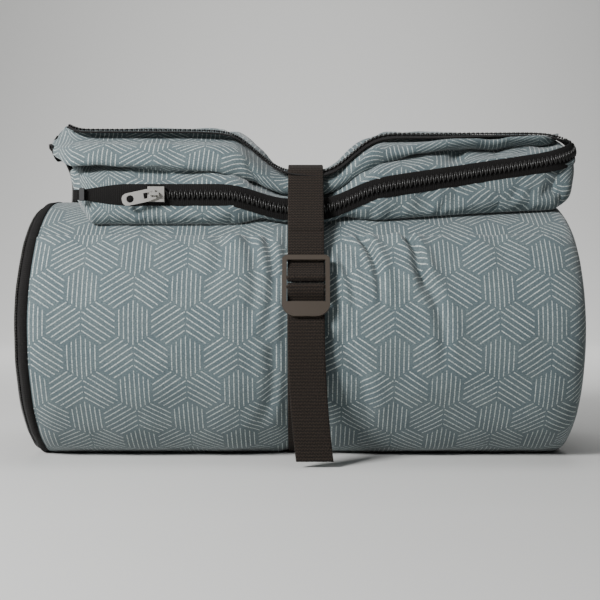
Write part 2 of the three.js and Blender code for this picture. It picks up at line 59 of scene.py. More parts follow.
# %% Dimensions
MM = 0.001
CX, CY, AXIS = 6.47, 0.91, 113.72
LEFT, RIGHT = -231.0, 232.0
LAP, START, SETTLE = 27.0, 144.6, 22.5
TAIL, CORE = 160.0, 1432.5
STRAP_X, WEB, PLY, SINK = 3.0, 30.0, 1.5, 2.1
HEX, LINE_GAP = 28.0, 3.75
PITCH = 2.1


def place(x, y, z):
    """A point in metres in the shared frame. Cloth that would reach below the ground flattens on it."""
    return Vector(((x - CX) * MM, (y - CY) * MM, max(0.0, (z + AXIS) * MM)))


def polar(deg, r):
    a = math.radians(deg)
    return -r * math.cos(a), r * math.sin(a)


def smooth(a, b, v):
    t = min(1.0, max(0.0, (v - a) / (b - a)))
    return t * t * (3 - 2 * t)


def outside(deg):
    turns = math.floor(deg / 360)
    rest = deg - 360 * turns
    low = 270 - SETTLE
    grown = rest if rest <= low else max(low, rest - 2 * SETTLE)
    return START - LAP * (turns + grown / (360 - 2 * SETTLE))


def press(deg):
    off = abs(deg % 360 - 270)
    return math.cos(math.radians(SETTLE)) / math.cos(math.radians(off)) if off < SETTLE else 1.0


def under(deg):
    return outside(deg + 360) + 0.4


print("outside radius at the front %.1f mm, at the back %.1f mm" % (outside(360), outside(180)))

# %% [markdown]
# ## Sweeps
# A padded strip, a webbing strap and a zip tape are all one closed section carried along a line.
# Each starts as one grid from bmesh, is bent to its place, and is welded where it meets itself.
# The grid's two directions become the UV map in metres, so a printed or woven pattern keeps its
# real size on the cloth and follows it round every bend.

# %% Sweep helper
def made(name, bm):
    """A smooth object from a finished bmesh."""
    mesh = bpy.data.meshes.new(name)
    bm.to_mesh(mesh)
    bm.free()
    mesh.polygons.foreach_set("use_smooth", [True] * len(mesh.polygons))
    obj = bpy.data.objects.new(name, mesh)
    bpy.context.scene.collection.objects.link(obj)
    print(name, len(mesh.polygons), "faces")
    return obj


def swept(name, rows, columns, where, uv):
    """A closed skin. where(i, j) gives a point of it and uv(i, j) that point's place on the cloth."""
    bm = bmesh.new()
    bmesh.ops.create_grid(bm, x_segments=rows - 1, y_segments=columns - 1, size=1.0)
    bm.verts.ensure_lookup_table()
    at = {}
    for v in bm.verts:
        i = round((v.co.x + 1) / 2 * (rows - 1))
        j = round((v.co.y + 1) / 2 * (columns - 1))
        at[v] = (i, j)
    layer = bm.loops.layers.uv.new("cloth")
    for face in bm.faces:
        for loop in face.loops:
            loop[layer].uv = [c * MM for c in uv(*at[loop.vert])]
    for v, (i, j) in at.items():
        v.co = where(i, j)
    first = {i: v for v, (i, j) in at.items() if j == 0}
    last = {i: v for v, (i, j) in at.items() if j == columns - 1}
    bmesh.ops.weld_verts(bm, targetmap={last[i]: first[i] for i in range(rows)})
    bmesh.ops.holes_fill(bm, edges=[e for e in bm.edges if e.is_boundary], sides=0)
    caps = [f for f in bm.faces if len(f.verts) > 4]
    bmesh.ops.triangulate(bm, faces=caps)
    bmesh.ops.recalc_face_normals(bm, faces=bm.faces)
    return made(name, bm)


def lengths(points, wrap=False):
    """How far along a line each of its points is."""
    total, out = 0.0, [0.0]
    ring = points + points[:1] if wrap else points
    for a, b in zip(ring, ring[1:]):
        total += math.dist(a, b)
        out.append(total)
    return out


def curved(p0, p1, p2, p3, t):
    """A Catmull-Rom curve between the two middle values."""
    square = (2 * p0 - 5 * p1 + 4 * p2 - p3) * t * t
    cube = (3 * p1 - 3 * p2 + p3 - p0) * t**3
    return 0.5 * (2 * p1 + (p2 - p0) * t + square + cube)


def respaced(points, step):
    """The line again with points a step apart, rounded by a curve through its corners."""
    along = lengths(points)
    count = max(2, round(along[-1] / step))
    out = []
    k = 0
    for n in range(count + 1):
        s = along[-1] * n / count
        while k < len(along) - 2 and along[k + 1] < s:
            k += 1
        t = (s - along[k]) / max(1e-9, along[k + 1] - along[k])
        near = [points[min(max(i, 0), len(points) - 1)] for i in range(k - 1, k + 3)]
        out.append(tuple(curved(*values, t) for values in zip(*near)))
    return out


# %% [markdown]
# ## Small node helper
# Every finish is a node tree, and every node is added by one function.

# %% Material helpers
def linear(code):
    """An sRGB colour such as 6f7c80 as linear light."""
    parts = [int(code[i : i + 2], 16) / 255 for i in (0, 2, 4)]
    return tuple(c / 12.92 if c <= 0.04045 else ((c + 0.055) / 1.055) ** 2.4 for c in parts) + (1.0,)


class Tree:
    def __init__(self, name, **shader):
        self.material = bpy.data.materials.new(name)
        self.material.use_nodes = True
        self.tree = self.material.node_tree
        self.shader = self.tree.nodes["Principled BSDF"]
        for key, value in shader.items():
            self.shader.inputs[key.replace("_", " ")].default_value = value

    def add(self, kind, *inputs, out=0, **settings):
        node = self.tree.nodes.new("ShaderNode" + kind)
        for key, value in settings.items():
            setattr(node, key, value)
        for socket, value in zip(node.inputs, inputs):
            if isinstance(value, bpy.types.NodeSocket):
                self.tree.links.new(value, socket)
            elif value is not None:
                socket.default_value = value
        return node.outputs[out]

    def math(self, operation, *inputs):
        return self.add("Math", *inputs, operation=operation)

    def vector(self, operation, *inputs, out=0):
        return self.add("VectorMath", *inputs, operation=operation, out=out)

    def cloth(self):
        """The cloth's own UV map, in millimetres."""
        uv = self.add("UVMap", uv_map="cloth")
        return self.vector("MULTIPLY", uv, (1000.0, 1000.0, 0.0))

    def ramp(self, value, a, b, low=0.0, high=1.0):
        return self.add("MapRange", value, a, b, low, high, interpolation_type="SMOOTHSTEP")

    def mix(self, factor, a, b):
        node = self.tree.nodes.new("ShaderNodeMix")
        node.data_type = "RGBA"
        for socket, value in zip((node.inputs[0], node.inputs[6], node.inputs[7]), (factor, a, b)):
            if isinstance(value, bpy.types.NodeSocket):
                self.tree.links.new(value, socket)
            else:
                socket.default_value = value
        return node.outputs[2]

    def link(self, name, value):
        self.tree.links.new(value, self.shader.inputs[name])

    def bump(self, height, distance, strength=1.0):
        node = self.tree.nodes.new("ShaderNodeBump")
        node.inputs["Strength"].default_value = strength
        node.inputs["Distance"].default_value = distance
        self.tree.links.new(height, node.inputs["Height"])
        self.link("Normal", node.outputs[0])


# %% [markdown]
# ## Quilted cover
# Heathered polyester, printed with a honeycomb. Each cell is 28 mm across and hatched with seven
# fine lines, and the three neighbours round each corner are hatched in three directions, so the
# eye reads little cubes. The ground is a blue grey and the lines are paler and broken, as print
# breaks up over a melange yarn.

# %% Quilted cover
def quilted(name, ground, pale):
    t = Tree(name, Roughness=0.92, Sheen_Weight=0.25, Sheen_Roughness=0.5, Specular_IOR_Level=0.25)
    p = t.cloth()
    tall = HEX * math.sqrt(3)
    half = (HEX / 2, tall / 2, 0.5)
    less = (-HEX / 2, -tall / 2, -0.5)
    near = t.vector("WRAP", p, half, less)
    moved = t.vector("ADD", p, half[:2] + (0.0,))
    far = t.vector("WRAP", moved, half, less)
    nearer = t.math("LESS_THAN", t.vector("LENGTH", near, out=1), t.vector("LENGTH", far, out=1))
    node = t.tree.nodes.new("ShaderNodeMix")
    node.data_type = "VECTOR"
    for socket, value in zip((node.inputs[0], node.inputs[4], node.inputs[5]), (nearer, far, near)):
        t.tree.links.new(value, socket)
    local = node.outputs[1]
    split = t.tree.nodes.new("ShaderNodeSeparateXYZ")
    t.tree.links.new(local, split.inputs[0])
    x, y = split.outputs[0], split.outputs[1]
    centre = t.tree.nodes.new("ShaderNodeSeparateXYZ")
    t.tree.links.new(t.vector("SUBTRACT", p, local), centre.inputs[0])
    row = t.math("DIVIDE", centre.outputs[1], tall / 2)
    column = t.math("SUBTRACT", t.math("DIVIDE", centre.outputs[0], HEX), t.math("MULTIPLY", row, 0.5))
    kind = t.math("FLOORED_MODULO", t.math("ROUND", t.math("SUBTRACT", column, row)), 3.0)
    turn = t.math("MULTIPLY", kind, 2 * math.pi / 3)
    across = t.math(
        "ADD",
        t.math("MULTIPLY", x, t.math("COSINE", turn)),
        t.math("MULTIPLY", y, t.math("SINE", turn)),
    )
    # The yarn wanders a little, so no line is ruler straight.
    wander = t.add("TexNoise", p, None, 0.35, 2.0)
    across = t.math("ADD", across, t.math("MULTIPLY", t.math("SUBTRACT", wander, 0.5), 0.5))
    line = t.ramp(t.math("PINGPONG", across, LINE_GAP / 2), 0.14, 0.58, 1.0, 0.0)
    slant = t.math("MULTIPLY", y, math.sqrt(3) / 2)
    halfx = t.math("MULTIPLY", x, 0.5)
    edge = t.math(
        "MAXIMUM",
        t.math("ABSOLUTE", x),
        t.math(
            "MAXIMUM",
            t.math("ABSOLUTE", t.math("ADD", halfx, slant)),
            t.math("ABSOLUTE", t.math("SUBTRACT", halfx, slant)),
        ),
    )
    inside = t.ramp(edge, HEX / 2 - 0.95, HEX / 2 - 0.35, 1.0, 0.0)
    broken = t.ramp(t.add("TexNoise", p, None, 1.0, 3.0, 0.75), 0.4, 0.58, 0.15, 1.0)
    printed = t.math("MULTIPLY", t.math("MULTIPLY", line, inside), broken)
    fleck = t.ramp(t.add("TexNoise", t.vector("MULTIPLY", p, (0.6, 2.6, 1.0)), None, 0.9, 3.0, 0.7), 0.3, 0.7)
    base = t.mix(fleck, linear(ground[0]), linear(ground[1]))
    cloudy = t.ramp(t.add("TexNoise", p, None, 0.05, 2.0), 0.35, 0.65)
    base = t.mix(t.math("MULTIPLY", cloudy, 0.22), base, linear(ground[2]))
    t.link("Base Color", t.mix(printed, base, linear(pale)))
    grain = t.add("TexNoise", p, None, 1.6, 3.0, 0.6)
    relief = t.math("ADD", t.math("MULTIPLY", printed, 0.5), t.math("MULTIPLY", grain, 0.6))
    t.bump(relief, 0.0006, 0.5)
    return t.material


cover = quilted("quilted cover, printed melange polyester", ("3d4a50", "697677", "384952"), "c8d0cc")
print("cover: cells of", HEX, "mm, lines every", LINE_GAP, "mm")

# %% [markdown]
# ## Webbing, zip tape and coil
# The strap is polypropylene webbing: ribs of yarn run across it in short steps, dark brown with a
# random tone in the yarn, a painted highlight on the rib crowns and painted shade between them. Zip
# tape is a finer black twill painted the same way, and the coil is smooth nylon with a soft
# highlight on every tooth.

# %% Webbing, tape and coil
def woven(name, dark, light, rib):
    t = Tree(name, Roughness=0.85, Sheen_Weight=0.04, Specular_IOR_Level=0.2)
    split = t.tree.nodes.new("ShaderNodeSeparateXYZ")
    t.tree.links.new(t.cloth(), split.inputs[0])
    x, y = split.outputs[0], split.outputs[1]
    # Twill: neighbouring warps are set half a step on, which makes small chevrons.
    warp = t.math("PINGPONG", x, rib)
    step = t.math("SINE", t.math("MULTIPLY", t.math("ADD", y, t.math("MULTIPLY", warp, 0.8)), math.pi / rib))
    ridge = t.math("SINE", t.math("MULTIPLY", x, 2 * math.pi / rib))
    height = t.math("MULTIPLY", t.math("ADD", step, t.math("MULTIPLY", ridge, 0.6)), 0.5)
    fray = t.add("TexNoise", t.cloth(), None, 0.8, 3.0)
    # Painted light: the rib crowns are painted paler as a highlight and the hollows darker as shade, on top
    # of a random tone in the yarn.
    crown_highlight_and_yarn_tone = t.math("ADD", t.math("MULTIPLY", height, 0.35), t.math("MULTIPLY", fray, 0.8))
    t.link("Base Color", t.mix(t.ramp(crown_highlight_and_yarn_tone, 0.1, 0.9), linear(dark), linear(light)))
    t.bump(height, 0.0005, 0.6)
    return t.material


webbing = woven("webbing, polypropylene twill", "0b0806", "332a23", 1.3)
tape = woven("zip tape, black polyester twill", "070606", "1a1817", 0.8)
coil = Tree("zip coil, black nylon", Roughness=0.38, IOR=1.53).material
coil.node_tree.nodes["Principled BSDF"].inputs["Base Color"].default_value = linear("1b1a19")

# %% [markdown]
# ## Hard finishes
# The slider and its tab are zinc castings with a satin nickel plating. The buckle is moulded acetal
# in a brown grey, with a fine spark-eroded texture that breaks its highlights. The zip's stop and the
# inlet's shell are black mouldings, and the inlet's pins are turned brass.

# %% Hard finishes
def solid(name, code, roughness, metallic=0.0, ior=1.5, speck=0.0):
    t = Tree(name, Roughness=roughness, Metallic=metallic)
    if not metallic:
        t.shader.inputs["IOR"].default_value = ior
    t.shader.inputs["Base Color"].default_value = linear(code)
    if speck:
        where = t.add("TexCoord", out=3)
        grain = t.add("TexNoise", where, None, 2500.0, 2.0)
        t.bump(grain, speck, 0.25)
    return t.material


nickel = solid("nickel plating on zinc", "c9c7c2", 0.33, 1.0)
acetal = solid("moulded acetal, brown grey", "3d362f", 0.36, 0.0, 1.48, 0.00005)
black_plastic = solid("moulded plastic, black", "1d1e1f", 0.45, 0.0, 1.5, 0.00005)
brass = solid("turned brass", "c9a75c", 0.28, 1.0)
red_wire = solid("silicone wire insulation", "7a2d27", 0.5, 0.0, 1.43)
steel = solid("drawn steel can", "9a9a9c", 0.3, 1.0)
wadding = solid("bonded polyester wadding", "e3e0d8", 0.95)
dark_lining = solid("coated lining", "3c4144", 0.55)
heating = solid("carbon-printed heating film", "26282a", 0.6)
print("finishes:", ", ".join(m.name for m in bpy.data.materials))

# %% [markdown]
# ## CAD pieces that show as they are
# The buckle, slider, tab, stop and the inlet's pieces keep their own shape. A live bevel takes the
# sharpness off their edges, as a mould or a tumbling drum does. The leads, the cut-out, the probe
# and the layers inside the cover get a finish as well.

# %% CAD pieces
def dress(node, material, bevel=0.0, segments=2):
    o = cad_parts[node]
    o.data.materials.clear()
    o.data.materials.append(material)
    if bevel:
        m = o.modifiers.new("soft edges", "BEVEL")
        m.width = bevel * MM
        m.segments = segments
        m.limit_method = "ANGLE"
        m.angle_limit = math.radians(28)
    print(node, "in", material.name)


dress("ladder_lock_buckle", acetal, 0.7, 3)
dress("zip_slider", nickel, 0.45, 2)
dress("pull_tab", nickel, 0.35, 2)
dress("zip_stop", black_plastic, 0.3, 2)
for node in ("inlet_shell", "inlet_flange", "inlet_insulator"):
    dress(node, black_plastic, 0.3, 2)
for node in ("inlet_pin_line", "inlet_pin_earth", "inlet_pin_neutral"):
    dress(node, brass, 0.2, 2)
for node in ("lead_neutral", "lead_line", "lead_sensor"):
    dress(node, red_wire)
for node in ("thermal_cutout", "temperature_probe"):
    dress(node, steel, 0.4, 2)
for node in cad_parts:
    if node.startswith(("batting", "tail_batting")):
        dress(node, wadding)
    elif node.startswith("lining"):
        dress(node, dark_lining)
    elif node.startswith("heater"):
        dress(node, heating)

# %% [markdown]
# ## The roll
# One closed section of the folded blanket goes round the whole spiral: its outer slab, the round
# fold at the right end, its inner slab, and the slit between the two at the left end. The wadding
# makes it bulge a little past the firm CAD sheet wherever nothing presses on it. The strap draws
# it in to a waist, and short creases run out from the strap where the cloth has nowhere to go.

# %% The roll
DEEP = LAP - 0.3
EDGE = LEFT + 1.0


def spaced(a, b, step):
    """Places from a to b, about a step apart."""
    n = max(1, round(abs(b - a) / step))
    return [a + (b - a) * k / n for k in range(n + 1)]


def roll_section():
    """Corners of the section as across and depth pairs, going round it once."""
    half, slit = DEEP / 2, 30.0
    points = [(EDGE + 3.0, DEEP), (EDGE + 0.8, DEEP - 2.2), (EDGE, DEEP - 5.0), (EDGE + 0.6, half + 4.0)]
    points += [(EDGE + 5.0, half + 0.6), (EDGE + slit, half + 0.15), (EDGE + slit, half - 0.15)]
    points += [(EDGE + 5.0, half - 0.6), (EDGE + 0.6, half - 4.0)]
    points += [(EDGE, 5.0), (EDGE + 0.8, 2.2), (EDGE + 3.0, 0.0)]
    last = RIGHT - half
    inner = [(x, 0.0) for x in spaced(EDGE + 10.0, last - 10.0, 11.0)]
    fine = spaced(EDGE + 10.0, -80.0, 6.0) + spaced(-77.5, 125.0, 2.3) + spaced(131.0, last - 6.0, 6.0)
    turn = [
        (RIGHT - half + half * math.sin(math.pi * k / 14), half - half * math.cos(math.pi * k / 14))
        for k in range(0, 15)
    ]
    outer = [(x, DEEP) for x in reversed(fine)]
    return points + inner + turn + outer


CREASE_R = 118.0
# Creases as start, end, width and depth. A place is across in millimetres and the angle.
CREASES = [
    ((46.0, 401.0), (63.0, 366.0), 3.0, 6.4),
    ((78.0, 406.0), (98.0, 372.0), 3.2, 6.6),
    ((90.0, 386.0), (115.0, 344.0), 4.2, 4.2),
    ((30.0, 390.0), (42.0, 362.0), 3.0, 3.4),
    ((31.0, 355.0), (54.0, 318.0), 5.6, 2.6),
    ((-30.0, 400.0), (-33.0, 352.0), 3.8, 3.4),
    ((-47.0, 402.0), (-43.0, 358.0), 4.6, 2.8),
    ((-70.0, 403.0), (-78.0, 370.0), 5.6, 2.2),
    ((-24.0, 352.0), (-38.0, 314.0), 4.6, 2.4),
    ((150.0, 405.0), (168.0, 380.0), 6.0, 1.8),
]


def creased(x, s):
    """The groove of every crease that passes a place, with the roll of cloth beside it."""
    total = 0.0
    for (x0, d0), (x1, d1), width, deep in CREASES:
        s0, s1 = math.radians(d0) * CREASE_R, math.radians(d1) * CREASE_R
        far = math.hypot(x1 - x0, s1 - s0)
        ux, us = (x1 - x0) / far, (s1 - s0) / far
        t = ((x - x0) * ux + (s - s0) * us) / far
        if not -0.1 < t < 1.0:
            continue
        bow = 0.08 * far * math.sin(math.pi * max(0.0, t))
        q = (x - x0) * us - (s - s0) * ux + bow
        if abs(q) > 6 * width:
            continue
        strength = deep * smooth(-0.1, 0.08, t) * (1 - max(0.0, t)) ** 0.6
        total -= strength * math.exp(-((q / width) ** 2))
        total += strength * 0.55 * math.exp(-(((abs(q) - 2.2 * width) / (1.4 * width)) ** 2))
    return total


def relief(x, deg):
    """How far the outermost cloth stands out from the firm sheet, in millimetres."""
    s = math.radians(deg) * CREASE_R
    off = abs(x - STRAP_X)
    free = smooth(15.4, 70.0, off)
    rise = 4.6 * free * smooth(0, 22, x - EDGE) * smooth(0, 30, RIGHT - x)
    press_in = -SINK * (1 - smooth(15.0, 24.0, off))
    low = 1 - smooth(36, 22, abs(deg % 360 - 270))
    # Slow swells of the wadding, and shorter ones between them.
    swell = 1.9 * noise.noise(Vector((x / 62.0, s / 48.0, 1.7)))
    swell += 0.9 * noise.noise(Vector((x / 23.0, s / 20.0, 5.1)))
    # Little puckers that fan out from the strap's edge and die away.
    near = math.exp(-(((off - 22) / 20.0) ** 2)) * smooth(15.5, 22, off)
    wave = noise.noise(Vector((off / 60.0, s / 13.0, 9.3 if x < STRAP_X else 2.2)))
    groove = creased(x, s) * smooth(15.5, 22, off)
    return press_in + (rise + swell * free + 1.8 * near * wave + groove) * low


def rolled(x, n, deg):
    """A point of the roll from its place across, its depth in the lap and its angle."""
    share = smooth(DEEP * 0.35, DEEP, n)
    extra = relief(x, deg) * share * (1 - smooth(438, 470, deg))
    # Under the tail's own lip nothing may stand proud.
    if deg > 400:
        extra = min(extra, 0.3)
    r = press(deg) * (outside(deg) - LAP + n + extra)
    y, z = polar(deg, r)
    return x, y, z


section = roll_section()
around = lengths(section, wrap=True)
# The front of the outermost lap is finer, because its creases are.
angle_at = spaced(TAIL, 296, 4.6)[:-1] + spaced(296, 424, 1.25)[:-1] + spaced(424, CORE, 4.6)
STEPS = len(angle_at) - 1
travel = [0.0]
for a, b in zip(angle_at, angle_at[1:]):
    travel.append(travel[-1] + math.radians(b - a) * (outside(a) - LAP / 2))


def roll_where(i, j):
    x, n = section[j % len(section)]
    return place(*rolled(x, n, angle_at[i]))


def roll_uv(i, j):
    return (around[j], travel[i])


roll = swept("roll", STEPS + 1, len(section) + 1, roll_where, roll_uv)
roll.data.materials.append(cover)
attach(roll, "blanket")
INNER = ["cover_bottom_sheet", "cover_top_sheet", "batting_bottom_sheet", "batting_top_sheet"]
INNER += ["lining_bottom_sheet", "lining_top_sheet", "heater_film_bottom", "heater_film_top"]
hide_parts(*INNER)

# %% [markdown]
# ## Side zips
# Each slab's left edge is closed by a black zip. Its tape folds over the edge, about 8 mm onto the
# cover, and the coil stands along the middle of the edge.

# %% Side zips
def band(name, loop, material, node):
    """A strip round the whole spiral with one section, standing for one CAD node."""
    size = lengths(loop, wrap=True)

    def where(i, j):
        x, n = loop[j % len(loop)]
        return place(*rolled(x, n, angle_at[i]))

    o = swept(name, STEPS + 1, len(loop) + 1, where, lambda i, j: (size[j], travel[i]))
    o.data.materials.append(material)
    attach(o, "blanket")
    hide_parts(node)


def tape_loop(low, high):
    """A thin C round a slab's edge between two depths of the lap."""
    face = [(8.6, high + 0.55), (2.6, high + 0.45), (-0.4, high - 2.6), (-0.9, high - 5.5)]
    face += [(-0.9, low + 5.5), (-0.4, low + 2.6), (2.6, low - 0.1), (5.0, low)]
    rear = [(5.0, low + 0.9), (3.4, low + 1.2), (1.1, low + 3.4), (0.7, low + 5.8)]
    rear += [(0.7, high - 5.8), (1.1, high - 3.4), (3.2, high - 0.9), (8.6, high - 0.5)]
    return [(EDGE + x, n) for x, n in face + rear]


def coil_loop(mid):
    turns = [k * math.pi / 4 for k in range(8)]
    return [(EDGE - 2.2 + 1.7 * math.cos(a), mid + 3.3 * math.sin(a)) for a in turns]


def toothed(name):
    """Nylon coil as a moulded bar with a tooth at every step of the pitch, bumped in, with painted shade
    between the teeth and a painted highlight on their crowns.
    """
    t = Tree(name, Roughness=0.4, IOR=1.53)
    split = t.tree.nodes.new("ShaderNodeSeparateXYZ")
    t.tree.links.new(t.cloth(), split.inputs[0])
    wave = t.math("SINE", t.math("MULTIPLY", split.outputs[1], 2 * math.pi / PITCH))
    # Painted light: the gaps between the teeth are painted dark as shade and the crowns paler as a highlight.
    t.link("Base Color", t.mix(t.ramp(wave, -0.6, 0.6), linear("050505"), linear("34322f")))
    t.bump(wave, 0.0008, 1.0)
    return t.material


bar_coil = toothed("zip coil in a row, black nylon with painted tooth light")
band("side_zip_outer", tape_loop(DEEP / 2 + 0.6, DEEP), tape, "side_zip_tape_outer")
band("side_zip_inner", tape_loop(0.4, DEEP / 2 - 1.0), tape, "side_zip_tape_inner")
band("side_coil_outer", coil_loop(DEEP * 0.76), bar_coil, "side_zip_coil_outer")
band("side_coil_inner", coil_loop(DEEP * 0.24), bar_coil, "side_zip_coil_inner")

# %% [markdown]
# ## The tail's outlines
# The tail is two slabs, the halves of the folded blanket, lying on the roll. Away from the strap
# they spring up to twice their rolled thickness. Under the strap they are pressed flat.

# %% Outlines
BACK = [159.7, 142.5, 125.0, 107.5, 90.0, 72.5]
ROOF = {
    "loose": [130.9, 140, 149.5, 159.5, 168.5, 172.5],
    "tight": [128.4, 131, 134, 137.4, 140.5, 142.3],
    "risen": [130.9, 140, 149.5, 159, 165, 167.2],
}
WAIST = {
    "loose": [117.2, 121.5, 128, 134.5, 140, 144.5],
    "tight": [116, 118, 120.5, 123, 125.5, 127],
    "risen": [117.2, 121.5, 128.5, 137, 146.5, 155],
}
FOOT = [(-77.5, 84.3), (-83, 87.5), (-85.2, 93)]
LIP = {
    "loose": FOOT + [(-84.8, 99), (-84.8, 118), (-82.5, 121.5), (-76, 125.2)],
    "tight": [(-74.2, 86.5), (-76, 88), (-76.8, 90.5), (-76.8, 93)]
    + [(-76.8, 100.5), (-75.6, 103), (-72, 105.6)],
    "risen": FOOT + [(-84.8, 100), (-83.5, 135), (-79.5, 140.5), (-71, 143.6)],
}
BROW = {
    "loose": [(-77, 126.8), (-81, 128.8), (-81, 134), (-75, 143.5), (-57.5, 160.5), (-55, 162.8)],
    "tight": [(-66, 110.8), (-69, 112.5), (-70.6, 116), (-70.2, 121), (-66.5, 125.5), (-60, 130)],
    "risen": [(-71.5, 145.1), (-75.5, 146.2), (-76, 147.8), (-70.5, 151.5), (-58, 156.5), (-55.5, 158.5)],
}
KINDS = ("loose", "tight", "risen")


def outline(which, kind):
    waist = WAIST[kind]
    if which == "lower":
        rows = [polar(d, under(d)) for d in BACK + [60.0, 53.0]] + LIP[kind]
        return rows + [polar(d, r) for d, r in reversed(list(zip(BACK, waist)))]
    rows = [polar(d, r + 0.5) for d, r in zip(BACK, waist)] + BROW[kind]
    return rows + [polar(d, r) for d, r in reversed(list(zip(BACK, ROOF[kind])))]


AROUND = 120
LINES = {}
for w in ("lower", "upper"):
    for kind in KINDS:
        fine = respaced(outline(w, kind), 1.0)
        LINES[w, kind] = [fine[round(i * (len(fine) - 1) / (AROUND - 1))] for i in range(AROUND)]
FLAT = {w: lengths(LINES[w, "loose"]) for w in ("lower", "upper")}
print("the tail's slabs are %.0f and %.0f mm round" % (FLAT["lower"][-1], FLAT["upper"][-1]))


def tightness(x):
    """How far the strap presses the tail at a place across it."""
    return 1 - smooth(15.5, 66.0, abs(x - STRAP_X))


def risen(x):
    """How far the lower slab has risen at a place across it."""
    return min(1.0, max(0.0, (x - 20) / 198))


def blended(x, loose, tight, up):
    """One corner of an outline at a place across the tail."""
    t, r = tightness(x), risen(x)
    y = (loose[0] + (tight[0] - loose[0]) * t) * (1 - r) + up[0] * r
    z = (loose[1] + (tight[1] - loose[1]) * t) * (1 - r) + up[1] * r
    return y, z


T_LEFT, T_RIGHT = -222.0, 233.0


def inset(which, x, y, z):
    """The lower slab's nose stops short of the upper one's at the left end."""
    deg = 180 - math.degrees(math.atan2(z, y))
    share = min(1.0, max(0.0, (112 - deg) / 45)) if which == "lower" else 0.0
    return x + 24 * share * (1 - smooth(0, 80, x - T_LEFT))


def turned_back(x, y, z):
    """The nose is drawn back towards both ends of the tail."""
    by = 13 * (1 - smooth(0, 30, x - T_LEFT)) + 12 * risen(x) ** 1.1 + 5 * smooth(214, 233, x)
    deg, r = 180 - math.degrees(math.atan2(z, y)), math.hypot(y, z)
    return polar(deg + by * min(1.0, max(0.0, (112 - deg) / 45)), r)


def tail_point(which, x, k):
    """A point of a slab's outline at a place across the tail, before its ends are rounded."""
    return turned_back(x, *blended(x, *(LINES[which, kind][k] for kind in KINDS)))


def drawn(which, x, k):
    """The same point with the ends of the slab rounded, as on a pillow."""
    y, z = tail_point(which, x, k)
    oy, oz = tail_point(which, x, AROUND - 1 - k)
    ends = [math.sqrt(max(0.0, 1 - max(0.0, 1 - gap / 13.0) ** 2)) for gap in (x - T_LEFT, T_RIGHT - x)]
    draw = 0.41 * (1 - min(ends))
    return y + (oy - y) * draw, z + (oz - z) * draw


# %% [markdown]
# ## Puffing the slabs
# A slab is blown up as cloth: a light pressure inside and no gravity, so the cover tightens over
# its wadding and folds of its own appear where it has too much length. How far each point may
# move is capped, and the cloth under the strap, against the roll and at the back is held.

# %% Slabs
def facet(which, x, k0, k1, share):
    """A place on a slab's plain outline between two of its corners, and the way along that face."""
    rings = [outline(which, kind) for kind in KINDS]
    a = turned_back(x, *blended(x, *(ring[k0] for ring in rings)))
    b = turned_back(x, *blended(x, *(ring[k1] for ring in rings)))
    side = Vector((0, b[0] - a[0], b[1] - a[1])).normalized()
    return Vector((x, a[0] + (b[0] - a[0]) * share, a[1] + (b[1] - a[1]) * share)), side


def front_zip(x):
    return facet("lower", x, 11, 12, 0.5 + 0.24 * risen(x))


def rear_zip(x):
    return facet("upper", x, 9, 10, 1.0)


# The zip is sewn down, so the cloth lies quiet along it.
SEWN = {
    "lower": [place(*front_zip(x)[0]) for x in spaced(-200, 216, 5)],
    "upper": [place(*rear_zip(x)[0]) for x in spaced(-200, 216, 5)],
}
XS = [T_LEFT + (T_RIGHT - T_LEFT) * k / 130 for k in range(131)]
MOVE_CAP = 0.007
PRESSURE = 4.0
FRAMES = 20


